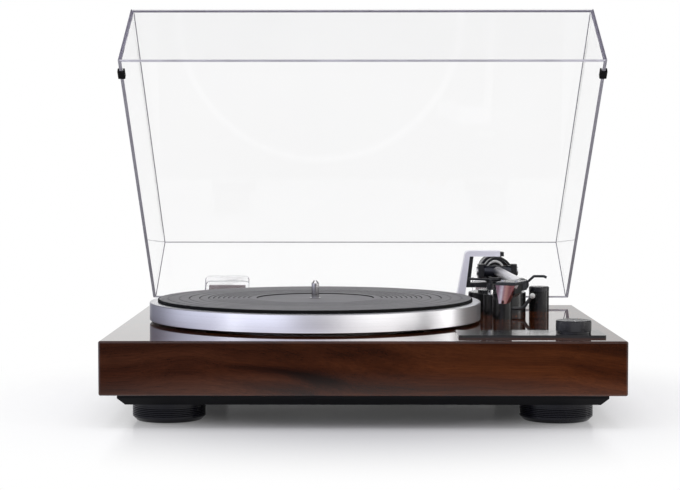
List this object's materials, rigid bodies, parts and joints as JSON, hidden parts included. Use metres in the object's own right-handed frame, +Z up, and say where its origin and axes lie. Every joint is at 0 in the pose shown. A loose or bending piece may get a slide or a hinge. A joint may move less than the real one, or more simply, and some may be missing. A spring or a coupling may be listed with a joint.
{
  "type": "turntable",
  "caption": "Belt-drive record player: wood plinth on round feet, metal platter with mat, tonearm with cue lift and headshell, speed knob on a plate, clear hinged lid shown open.",
  "frame": {"origin": "on the surface that the player stands on, below the middle of the plinth's footprint", "axes": "+X to the right as seen from the front, +Y to the rear, +Z up"},
  "size_m": [0.435, 0.427, 0.3584],
  "materials": {
    "lacquered_wood": "gloss",
    "black_plastic": "satin",
    "black_gloss": "gloss",
    "rubber": "matte",
    "mat_rubber": "matte",
    "screw_steel": "satin",
    "dark_plate": "gloss",
    "board": "satin",
    "lead": "matte",
    "panel_paint": "satin",
    "gold": "polished",
    "steel": "satin",
    "brass": "satin",
    "chrome": "polished",
    "platter_metal": "satin",
    "black_anodised": "satin",
    "silver": "satin",
    "clear": "gloss",
    "red_clear": "gloss",
    "dial_plastic": "satin"
  },
  "bodies": {
    "chassis": {"plinth": "lacquered_wood", "base_cover": "black_plastic", "cover_screws": "screw_steel", "foot_front_left": "black_plastic", "foot_front_right": "black_plastic", "foot_rear_left": "black_plastic", "foot_rear_right": "black_plastic", "foot_pads": "rubber", "foot_screws": "screw_steel", "control_plate": "dark_plate", "speed_switch": "black_plastic", "main_board": "board", "machine_screws": "screw_steel", "wiring": "lead", "jack_panel": "panel_paint", "phono_jacks": "gold", "ground_post": "gold", "power_inlet": "black_plastic", "motor": "steel", "motor_plate": "steel", "motor_grommets": "rubber", "drive_belt": "rubber", "bearing_housing": "brass", "thrust_ball": "chrome", "arm_base": "black_gloss", "arm_collar": "black_gloss", "pivot_frame": "black_anodised", "pivot_bridge": "silver", "pivot_screw": "screw_steel", "arm_rest": "black_gloss", "lift_housing": "black_gloss", "antiskate_post": "black_gloss", "hinge_brackets": "steel", "hinge_pins": "screw_steel", "hinge_screws": "screw_steel"},
    "platter": {"platter": "platter_metal", "platter_mat": "mat_rubber", "spindle": "chrome"},
    "rotor": {"motor_pulley": "brass", "motor_shaft": "steel"},
    "lid": {"lid": "clear", "hinge_sockets": "clear", "lid_bumpers": "rubber", "hinge_arms": "steel"},
    "yoke": {"arm_yoke": "black_anodised", "side_pivots": "screw_steel"},
    "axle": {"arm_axle": "steel"},
    "tonearm": {"arm_tube": "silver", "headshell": "black_anodised", "headshell_screws": "screw_steel", "cartridge": "black_plastic", "stylus_unit": "red_clear"},
    "counterweight": {"counterweight": "steel"},
    "force_dial": {"force_dial": "dial_plastic"},
    "cue_lever": {"cue_lever": "black_anodised"},
    "cue_lift": {"lift_piston": "chrome", "lift_rail": "black_anodised"},
    "antiskate_dial": {"antiskate_dial": "black_plastic"},
    "speed_knob": {"speed_knob": "black_gloss"}
  },
  "joints": [
    {"name": "lid_hinge", "type": "hinge", "parent": "chassis", "child": "lid", "pos_m": [0, 0.1962, 0.0472], "axis": [1, 0, 0], "range_deg": [0, 40.7]},
    {"name": "platter_spin", "type": "hinge", "parent": "chassis", "child": "platter", "pos_m": [-0.043, 0.0095, 0.091], "axis": [0, 0, 1], "continuous": true},
    {"name": "pulley_spin", "type": "hinge", "parent": "chassis", "child": "rotor", "pos_m": [-0.12856, 0.09506, 0.0786], "axis": [0, 0, 1], "continuous": true},
    {"name": "arm_swing", "type": "hinge", "parent": "chassis", "child": "yoke", "pos_m": [0.1337, 0.1065, 0.1123], "axis": [0, 0, 1], "range_deg": [-47.5, 0]},
    {"name": "cue_drop", "type": "hinge", "parent": "yoke", "child": "axle", "pos_m": [0.1337, 0.1065, 0.1123], "axis": [-0.9994, -0.0354, 0], "range_deg": [-1, 0]},
    {"name": "hand_lift", "type": "hinge", "parent": "axle", "child": "tonearm", "pos_m": [0.1337, 0.1065, 0.1123], "axis": [-0.9994, -0.0354, 0], "range_deg": [0, 4.5]},
    {"name": "weight_turn", "type": "hinge", "parent": "tonearm", "child": "counterweight", "pos_m": [0.1337, 0.1065, 0.1123], "axis": [-0.0354, 0.9994, 0], "range_deg": [-360, 360]},
    {"name": "dial_turn", "type": "hinge", "parent": "counterweight", "child": "force_dial", "pos_m": [0.1337, 0.1065, 0.1123], "axis": [-0.0354, 0.9994, 0], "range_deg": [-170, 170]},
    {"name": "cue_lever_turn", "type": "hinge", "parent": "chassis", "child": "cue_lever", "pos_m": [0.14001, 0.06963, 0.0784], "axis": [1, 0, 0], "range_deg": [0, 70]},
    {"name": "lift_rise", "type": "slide", "parent": "chassis", "child": "cue_lift", "axis": [0, 0, 1], "range_m": [-0.0016, 0]},
    {"name": "antiskate_turn", "type": "hinge", "parent": "chassis", "child": "antiskate_dial", "pos_m": [0.1755, 0.112, 0.0919], "axis": [0, 0, 1], "range_deg": [0, 270]},
    {"name": "knob_turn", "type": "hinge", "parent": "chassis", "child": "speed_knob", "pos_m": [0.179, -0.131, 0.0747], "axis": [0, 0, 1], "range_deg": [-45, 45]}
  ],
  "couplings": [
    {"joint": "pulley_spin", "follows": "platter_spin", "ratio": 14.286},
    {"joint": "cue_lever_turn", "follows": "lift_rise", "rad_per_m": -763.5},
    {"joint": "cue_drop", "follows": "lift_rise", "rad_per_m": 10.9}
  ]
}
